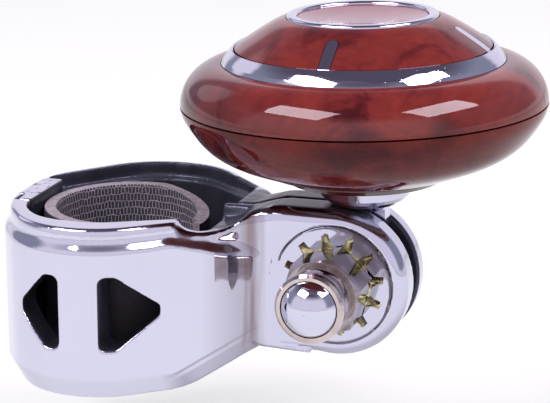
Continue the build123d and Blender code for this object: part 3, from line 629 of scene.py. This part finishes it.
def score_crease(bm):
    """Faint line where the wall turns into the slanted underside."""
    clamp = settings()[0]
    start_x, end_x, half_width, depth = 10, 27, 0.5, 0.14
    start = Vector((15.0, -clamp.half_height))
    along = (Vector((clamp.slant_end_x, clamp.slant_end_z)) - start).normalized()
    for v in bm.verts:
        place = Vector((v.co.x, v.co.z)) - start
        height = along.x * place.y - along.y * place.x
        off = abs(height - clamp.crease_height) / half_width
        on_wall = abs(v.normal.y) > 0.5 and v.normal.y * v.co.y > 0
        if off < 1 and start_x < v.co.x < end_x and on_wall:
            v.co -= v.normal * depth * (1 - off * off) * steady(v.co.x, start_x + 1, 16)


def lift_seat(bm, face, side):
    """Halves the depth of the seat round the washer."""
    clamp = settings()[0]
    shallow, deepest, bolt_room, seat_radius = 0.02, 1.0, 5.5, 11.2
    for v in bm.verts:
        reach = math.hypot(v.co.x - clamp.pivot_x, v.co.z - clamp.pivot_z)
        deep = (v.co.y - face) * side
        if shallow < deep < deepest and bolt_room < reach < seat_radius and v.normal.y * side < 0.2:
            v.co.y = face + side * deep * 0.5


def sink_step(co):
    """Lowers the step inside the ring's top, but neither the rim itself nor the neck."""
    step_foot, step_top, rim_foot, rim_top = 8, 11, 13.9, 15.2
    neck_start, neck_end, depth = 10, 19, 0.7
    if co.z > step_foot and co.x < neck_end + 1:
        rim = steady(co.z, rim_foot, rim_top)
        neck = steady(co.x, neck_start, neck_end)
        co.z -= depth * steady(co.z, step_foot, step_top) * (1 - rim) * (1 - neck)


def cast_copy(node, face, side):
    """Casting of one clamp half: the node's own shape with every edge softened as a plated casting has it."""
    clamp = settings()[0]
    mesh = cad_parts[node].data.copy()
    bm = bmesh.new()
    bm.from_mesh(mesh)
    bmesh.ops.remove_doubles(bm, verts=bm.verts, dist=SAME_POINT)
    bm.to_mesh(mesh)
    bm.free()
    blank = bpy.data.objects.new("blank", mesh)
    bpy.context.scene.collection.objects.link(blank)
    even = blank.modifiers.new("even", "REMESH")
    even.mode = "VOXEL"
    even.voxel_size = clamp.grain * MM
    soften = blank.modifiers.new("soften", "SMOOTH")
    soften.factor, soften.iterations = 0.5, 3
    shaped = bpy.data.meshes.new_from_object(blank.evaluated_get(bpy.context.evaluated_depsgraph_get()))
    bpy.data.objects.remove(blank)
    bm = bmesh.new()
    bm.from_mesh(shaped)
    bmesh.ops.scale(bm, vec=(1 / MM, 1 / MM, 1 / MM), verts=bm.verts)
    for v in bm.verts:
        sink_step(v.co)
        round_ear(v.co, face, side)
    neck_start, neck_end, neck_foot = 14, 30, 12.1
    neck_top = [v for v in bm.verts if neck_start < v.co.x < neck_end and v.co.z > neck_foot]
    melt(bm, neck_top, 14)
    valley_start, valley_end, valley_in, valley_out, valley_half = 22, 30.5, 5.5, 13, 11
    valley = [v for v in bm.verts if valley_start < v.co.x < valley_end
              and valley_in < abs(v.co.y) < valley_out and abs(v.co.z) < valley_half]
    melt(bm, valley, 20, False)
    upper_foot = 7
    melt(bm, [v for v in bm.verts if v.co.z > upper_foot], 2)
    bm.normal_update()
    score_crease(bm)
    lift_seat(bm, face, side)
    low = Vector(clamp.low_corner)
    for v in bm.verts:
        v.co.x = max(v.co.x, low.x)
        v.co.z = max(v.co.z, low.z)
    return bm


def added(bm, other):
    """Puts another shape into this one."""
    mesh = bpy.data.meshes.new("part")
    other.to_mesh(mesh)
    other.free()
    bm.from_mesh(mesh)
    bpy.data.meshes.remove(mesh)


def bevelled(bm, geom, offset, segments, affect):
    bmesh.ops.bevel(bm, geom=geom, offset=offset, segments=segments, profile=0.5, affect=affect,
                    material=-1)


def turned(bm, angle, axis):
    bmesh.ops.rotate(bm, cent=(0, 0, 0), matrix=Matrix.Rotation(angle, 3, axis), verts=bm.verts)


def strip_section(inner, outer, half):
    """Cross-section of the strip, its long sides divided so that its edge can waver."""
    bm = profile_face([(inner, -half), (outer, -half), (outer, half), (inner, half)])
    long_sides = [e for e in bm.edges if abs(e.verts[0].co.x - e.verts[1].co.x) < SAME_POINT]
    bmesh.ops.subdivide_edges(bm, edges=long_sides, cuts=18)
    bevelled(bm, [v for v in bm.verts if abs(abs(v.co.z) - half) < SAME_POINT], 0.22, 3, "VERTICES")
    return bm


def swept(bm, turn, steps):
    """Carries a section round the bore axis; a copy of the section closes the start."""
    section = bm.faces[:]
    bmesh.ops.duplicate(bm, geom=bm.verts[:] + bm.edges[:] + section)
    bmesh.ops.spin(bm, geom=section, cent=(0, 0, 0), axis=(0, 0, 1), angle=math.radians(turn), steps=steps)
    bmesh.ops.remove_doubles(bm, verts=bm.verts, dist=1e-5)


def map_strip(bm, radius):
    """Map of the strip in millimetres: along its length and up its height."""
    layer = bm.loops.layers.uv.new("strip")
    for face in bm.faces:
        middle = face.calc_center_median()
        heading = math.atan2(middle.y, middle.x)
        for loop in face.loops:
            turn = math.atan2(loop.vert.co.y, loop.vert.co.x) - heading
            turn = (turn + math.pi) % math.tau - math.pi
            loop[layer].uv = ((heading + turn) * radius, loop.vert.co.z)


def make_strip():
    """Rubber strip rolled in the bore: its flap runs on outside, its top slopes, its edge wavers."""
    clamp = settings()[0]
    seed = random.Random(11)
    half = clamp.strip_half
    bm = strip_section(clamp.strip_inner, clamp.strip_outer, half)
    swept(bm, clamp.strip_end, 150)
    clearance, overlap = 0.03, math.radians(1)
    flap = strip_section(clamp.strip_outer - clamp.strip_flap, clamp.strip_outer - clearance, half)
    swept(flap, -clamp.strip_flap_turn, 5)
    turned(flap, overlap, "Z")
    added(bm, flap)
    slope_start, slope = 2.0, 0.165
    bmesh.ops.bisect_plane(bm, geom=bm.verts[:] + bm.edges[:] + bm.faces[:], dist=1e-5, clear_outer=True,
                           plane_co=(slope_start, 0, half), plane_no=Vector((slope, 0, 1)).normalized())
    bmesh.ops.holes_fill(bm, edges=[e for e in bm.edges if e.is_boundary], sides=0)
    map_strip(bm, clamp.strip_inner)
    squash, shift, lowered = 0.928, -1.15, 0.965
    for v in bm.verts:
        if v.co.z > half - 5 and v.normal.z > 0.4:
            v.co.z += seed.uniform(-0.10, 0.06)
        v.co.x = v.co.x * squash + shift
        if v.co.z > 0:
            v.co.z *= lowered
    return bm


def make_leaf(inner, outer):
    """Tooth of a washer, narrowing and twisting on its way out."""
    width, thickness, narrowing = 2.3, 0.5, 0.2
    start_twist, twist, twist_pace = 8, 44, 1.5
    leaf = bmesh.new()
    bmesh.ops.create_cube(leaf, size=1)
    bmesh.ops.scale(leaf, vec=(outer - inner, width, thickness), verts=leaf.verts)
    bmesh.ops.translate(leaf, vec=((outer + inner) / 2, 0, 0), verts=leaf.verts)
    bevelled(leaf, leaf.edges[:], 0.09, 2, "EDGES")
    long_sides = [e for e in leaf.edges if abs(e.verts[0].co.x - e.verts[1].co.x) > 1]
    bmesh.ops.subdivide_edges(leaf, edges=long_sides, cuts=6, use_grid_fill=True)
    for v in leaf.verts:
        part = (v.co.x - inner) / (outer - inner)
        v.co.y *= 1 - narrowing * part
        v.co = Matrix.Rotation(math.radians(start_twist + twist * min(part * twist_pace, 1)), 3, "X") @ v.co
    return leaf


def make_washer(middle):
    """External tooth washer standing on the bolt axis."""
    clamp = settings()[0]
    half, root_overlap, first_tooth = 0.28, 0.5, 0.14
    bm = profile_face([(clamp.washer_bore, -half), (clamp.washer_root, -half), (clamp.washer_root, half),
                       (clamp.washer_bore, half)])
    bevelled(bm, bm.verts[:], 0.08, 2, "VERTICES")
    bmesh.ops.delete(bm, geom=bm.faces[:], context="FACES_ONLY")
    bmesh.ops.spin(bm, geom=bm.verts[:] + bm.edges[:], cent=(0, 0, 0), axis=(0, 0, 1), angle=math.tau,
                   steps=96, use_merge=True)
    pitch = math.tau / clamp.washer_teeth
    for index in range(clamp.washer_teeth):
        leaf = make_leaf(clamp.washer_root - root_overlap, clamp.washer_radius)
        turned(leaf, pitch * index + first_tooth, "Z")
        added(bm, leaf)
    turned(bm, math.radians(90), "X")
    bmesh.ops.translate(bm, vec=(clamp.pivot_x, middle, clamp.pivot_z), verts=bm.verts)
    return bm


# Operators

class MakeClamp(bpy.types.Operator):
    """Makes the castings of the two clamp halves, plated outside, bare and dark inside"""
    bl_idname = "spinner.clamp"
    bl_label = "Clamp halves"

    def execute(self, context):
        clamp, finishes, _ = settings()
        plating = plated("clamp_plating", tuple(finishes.chrome), 0.035, 1.0, inside_clamp)
        finished(cast_copy("clamp_front_half", -clamp.ear_front, 1), "front_half_casting", plating, "clamp",
                 ["clamp_front_half"], 180)
        finished(cast_copy("clamp_rear_half", clamp.ear_rear, -1), "rear_half_casting", plating, "clamp",
                 ["clamp_rear_half"], 180)
        return {"FINISHED"}


class MakeStrip(bpy.types.Operator):
    """Rolls the rubber strip into the bore"""
    bl_idname = "spinner.strip"
    bl_label = "Rubber strip"

    def execute(self, context):
        finished(make_strip(), "rubber_strip", rubber_mesh("rubber_mesh"), "clamp",
                 ["rim_liner"])
        return {"FINISHED"}


class MakeWashers(bpy.types.Operator):
    """Makes the two tooth washers under nut and bolt head"""
    bl_idname = "spinner.washers"
    bl_label = "Tooth washers"

    def execute(self, context):
        clamp = settings()[0]
        zinc = passivated("yellow_zinc_plate")
        finished(make_washer(clamp.washer_front), "tooth_washer_front", zinc, "clamp",
                 ["front_tooth_washer"])
        finished(make_washer(clamp.washer_rear), "tooth_washer_rear", zinc, "clamp",
                 ["rear_tooth_washer"])
        return {"FINISHED"}


class MakeFasteners(bpy.types.Operator):
    """Finishes the bolt, its locking nut with ring and cap, and the friction washers"""
    bl_idname = "spinner.fasteners"
    bl_label = "Bolt and nut"

    def execute(self, context):
        chrome = tuple(settings()[1].chrome)
        dress(nut_plating("nut_plating"), "pivot_nut")
        dress(plated("cap_plating", chrome, 0.04, 0.6), "nut_dome_cap")
        dress(brushed("bolt_zinc", (0.60, 0.60, 0.63), 0.22), "pivot_bolt")
        dress(moulded("locking_nylon", (0.80, 0.79, 0.74), 0.4, 0.0), "nut_locking_ring")
        dress(brushed("friction_steel", (0.55, 0.55, 0.57), 0.3), "front_friction_washer",
              "rear_friction_washer")
        return {"FINISHED"}


class MakeStem(bpy.types.Operator):
    """Plates the folding stem"""
    bl_idname = "spinner.stem"
    bl_label = "Stem"

    def execute(self, context):
        # The stem's plating carries the painted reflection of the boss
        dress(plated("stem_plating", tuple(settings()[1].chrome), 0.05, 0.8, boss_reflection), "stem")
        return {"FINISHED"}


class MakeBearing(bpy.types.Operator):
    """Finishes the ball bearing, what holds it on the spindle, and the shell screws"""
    bl_idname = "spinner.bearing"
    bl_label = "Bearing"

    def execute(self, context):
        steel = (0.62, 0.62, 0.65)
        dress(brushed("race_steel", steel, 0.2, (1, 1, 6)), "bearing_inner_race", "bearing_outer_race")
        dress(brushed("ball_steel", steel, 0.08), "bearing_balls")
        dress(brushed("shield_steel", (0.5, 0.5, 0.52), 0.35), "bearing_shields", "bearing_snap_ring")
        dress(brushed("zinc_plate", (0.60, 0.60, 0.63), 0.25), "end_washer", "end_screw", "shell_screws")
        return {"FINISHED"}


class MakeKnob(bpy.types.Operator):
    """Gives the knob's shells and dome their burl finish, and the boss a plain darker maroon as painted shade
    of the shells' plastic
    """
    bl_idname = "spinner.knob"
    bl_label = "Knob shells"

    def execute(self, context):
        dress(burl("burl_upper"), "knob_upper_shell")
        dress(burl("burl_lower", 0.6, 1.26), "knob_lower_shell")
        dress(burl("burl_dome", 0.9), "dome_cover")
        # Painted shade: the boss is coloured as the shells' plastic looks in shade
        dress(moulded("shaded_maroon_boss", (0.075, 0.008, 0.010), 0.2, 0.8), "knob_boss")
        return {"FINISHED"}


class MakeTrim(bpy.types.Operator):
    """Plates the trim ring with its spokes and the cap ring, and finishes the inlay"""
    bl_idname = "spinner.trim"
    bl_label = "Trim and cap"

    def execute(self, context):
        chrome = tuple(settings()[1].chrome)
        knob_axis, trim_radius, trim_half = 0.0430, 0.0243, 0.00160
        crown = (knob_axis, trim_radius, trim_half)
        dress(plated("trim_plating", chrome, 0.03, 0.5, crown=crown), "trim_ring")
        dress(plated("cap_ring_plating", chrome, 0.03, 0.5), "cap_ring")
        dress(moulded("rose_inlay", (0.26, 0.07, 0.10), 0.10, 0.25), "cap_inlay")
        return {"FINISHED"}


# Stage

def room_light(studio):
    """Room as metal mirrors it, pale below and dark above, with even light for all matt surfaces."""
    world = bpy.data.worlds.new("room")
    bpy.context.scene.world = world
    world.use_nodes = True
    tree = world.node_tree
    tree.nodes.clear()
    output = tree.nodes.new("ShaderNodeOutputWorld")
    light = tree.nodes.new("ShaderNodeBackground")
    place = tree.nodes.new("ShaderNodeTexCoord").outputs["Generated"]
    parts = tree.nodes.new("ShaderNodeSeparateXYZ")
    tree.links.new(place, parts.inputs[0])

    def span(value, low, high, to_low=0.0, to_high=1.0):
        node = tree.nodes.new("ShaderNodeMapRange")
        node.interpolation_type = "SMOOTHSTEP"
        tree.links.new(value, node.inputs["Value"])
        for key, number in (("From Min", low), ("From Max", high), ("To Min", to_low), ("To Max", to_high)):
            node.inputs[key].default_value = number
        return node.outputs["Result"]

    def both(operation, a, b):
        node = tree.nodes.new("ShaderNodeMath")
        node.operation = operation
        tree.links.new(a, node.inputs[0])
        tree.links.new(b, node.inputs[1])
        return node.outputs[0]

    def towards(way):
        node = tree.nodes.new("ShaderNodeVectorMath")
        node.operation = "DOT_PRODUCT"
        tree.links.new(place, node.inputs[0])
        node.inputs[1].default_value = way
        return node.outputs["Value"]

    def blend(factor, a, b):
        mix = tree.nodes.new("ShaderNodeMix")
        mix.data_type = "RGBA"
        tree.links.new(factor, mix.inputs[0])
        for socket, value in ((mix.inputs[6], a), (mix.inputs[7], b)):
            if isinstance(value, bpy.types.NodeSocket):
                tree.links.new(value, socket)
            else:
                socket.default_value = tuple(value) + (1,)
        return mix.outputs[2]

    height = parts.outputs["Z"]
    front = span(parts.outputs["Y"], *FRONT_EDGE_Y)
    above_sides = both("MULTIPLY", span(height, *SIDES_EDGE_Z), span(front, 0, 1, 1.0, 0.0))
    above_front = both("MULTIPLY", span(height, *FRONT_EDGE_Z), front)
    above = both("ADD", above_sides, above_front)
    backdrop = span(towards(BACKDROP_WAY), *BACKDROP_EDGE)
    no_window = span(towards(WINDOW_WAY), *WINDOW_EDGE, 1.0, 0.0)
    dim = both("MULTIPLY", above, both("MULTIPLY", span(backdrop, 0, 1, 1.0, 0.0), no_window))
    upper = blend(span(height, *CEILING_EDGE_Z), studio.upper, studio.ceiling)
    tree.links.new(blend(dim, studio.wall, upper), light.inputs["Color"])
    fill = tree.nodes.new("ShaderNodeBackground")
    fill.inputs["Color"].default_value = FILL_TINT
    fill.inputs["Strength"].default_value = studio.fill_level
    path = tree.nodes.new("ShaderNodeLightPath")
    choose = tree.nodes.new("ShaderNodeMixShader")
    tree.links.new(path.outputs["Is Diffuse Ray"], choose.inputs[0])
    tree.links.new(light.outputs[0], choose.inputs[1])
    tree.links.new(fill.outputs[0], choose.inputs[2])
    tree.links.new(choose.outputs[0], output.inputs["Surface"])


def facing_object(centre, heading, rise, distance):
    """Placing for a lamp or camera that looks at the object from a heading and elevation."""
    heading, rise = math.radians(heading), math.radians(rise)
    away = Vector((math.sin(heading) * math.cos(rise), -math.cos(heading) * math.cos(rise), math.sin(rise)))
    turn = away.to_track_quat("Z", "Y").to_matrix().to_4x4()
    return Matrix.Translation(centre + away * distance) @ turn


def softbox(name, heading, level, centre):
    """Area lamp that hangs over the object at one heading."""
    lamp = bpy.data.lights.new(name, "AREA")
    lamp.shape = "RECTANGLE"
    lamp.size, lamp.size_y = LAMP_SIZE
    lamp.energy = level * math.pi * LAMP_SIZE[0] * LAMP_SIZE[1]
    lamp.color = LAMP_TINT
    obj = bpy.data.objects.new(name, lamp)
    obj.matrix_world = facing_object(centre, heading, LAMP_RISE, LAMP_DISTANCE)
    bpy.context.scene.collection.objects.link(obj)


def pale_floor(studio, height):
    """Matt floor that glows a little where it is seen, and can be looked through from below."""
    mesh = bpy.data.meshes.new("floor")
    bm = bmesh.new()
    bmesh.ops.create_grid(bm, x_segments=1, y_segments=1, size=FLOOR_SIZE)
    bmesh.ops.translate(bm, vec=(0, 0, height), verts=bm.verts)
    bm.to_mesh(mesh)
    bm.free()
    s = Shader("pale_floor")
    matt = s.node("ShaderNodeBsdfDiffuse", Color=tuple(studio.floor))
    path = s.node("ShaderNodeLightPath")
    seen = s.math("ADD", path.outputs["Is Camera Ray"], path.outputs["Is Glossy Ray"])
    glow = s.node("ShaderNodeEmission", Color=(1, 1, 1), Strength=s.times(seen, FLOOR_GLOW))
    both = s.node("ShaderNodeAddShader")
    s.tree.links.new(matt.outputs[0], both.inputs[0])
    s.tree.links.new(glow.outputs[0], both.inputs[1])
    under = s.node("ShaderNodeMixShader", Fac=s.node("ShaderNodeNewGeometry").outputs["Backfacing"])
    s.tree.links.new(both.outputs[0], under.inputs[1])
    s.tree.links.new(s.node("ShaderNodeBsdfTransparent").outputs[0], under.inputs[2])
    s.tree.links.new(under.outputs[0], s.output.inputs["Surface"])
    mesh.materials.append(s.material)
    obj = bpy.data.objects.new("floor", mesh)
    bpy.context.scene.collection.objects.link(obj)


def photo_camera():
    """Camera at the photograph's viewing angle."""
    data = bpy.data.cameras.new("camera")
    data.lens = CAMERA_LENS
    data.sensor_width = CAMERA_SENSOR
    obj = bpy.data.objects.new("camera", data)
    target = Vector(CAMERA_TARGET)
    obj.matrix_world = facing_object(target, CAMERA_HEADING, CAMERA_RISE, CAMERA_DISTANCE)
    bpy.context.scene.collection.objects.link(obj)
    bpy.context.scene.camera = obj
    return target


class MakeStage(bpy.types.Operator):
    """Sets up floor, room, softboxes and the camera"""
    bl_idname = "spinner.stage"
    bl_label = "Stage"

    def execute(self, context):
        studio = settings()[2]
        centre = photo_camera()
        room_light(studio)
        pale_floor(studio, CAD_BOX[0][2] - studio.floor_drop * MM)
        softbox("left_softbox", LEFT_HEADING, studio.lamp_level, centre)
        softbox("right_softbox", RIGHT_HEADING, studio.lamp_level, centre)
        context.scene.view_settings.view_transform = "Standard"
        return {"FINISHED"}


STEPS = (MakeClamp, MakeStrip, MakeWashers, MakeFasteners, MakeStem, MakeBearing, MakeKnob, MakeTrim,
         MakeStage)


class SpinnerPanel(bpy.types.Panel):
    """Lists the steps and the sizes and colours they use"""
    bl_idname = "VIEW3D_PT_spinner"
    bl_label = "Spinner knob"
    bl_space_type = "VIEW_3D"
    bl_region_type = "UI"
    bl_category = "Spinner"

    def draw(self, context):
        for step in STEPS:
            self.layout.operator(step.bl_idname)
        for group in settings():
            box = self.layout.box()
            for key in group.__annotations__:
                box.prop(group, key)


CLASSES = (ClampSizes, Finishes, StudioSettings, SpinnerPanel) + STEPS


def register():
    for item in CLASSES:
        bpy.utils.register_class(item)
    bpy.types.Scene.clamp_sizes = PointerProperty(type=ClampSizes)
    bpy.types.Scene.finishes = PointerProperty(type=Finishes)
    bpy.types.Scene.studio = PointerProperty(type=StudioSettings)


def unregister():
    del bpy.types.Scene.clamp_sizes, bpy.types.Scene.finishes, bpy.types.Scene.studio
    for item in reversed(CLASSES):
        bpy.utils.unregister_class(item)


def main():
    register()
    bpy.ops.spinner.clamp()
    bpy.ops.spinner.strip()
    bpy.ops.spinner.washers()
    bpy.ops.spinner.fasteners()
    bpy.ops.spinner.stem()
    bpy.ops.spinner.bearing()
    bpy.ops.spinner.knob()
    bpy.ops.spinner.trim()
    bpy.ops.spinner.stage()


if __name__ == "__main__":
    main()
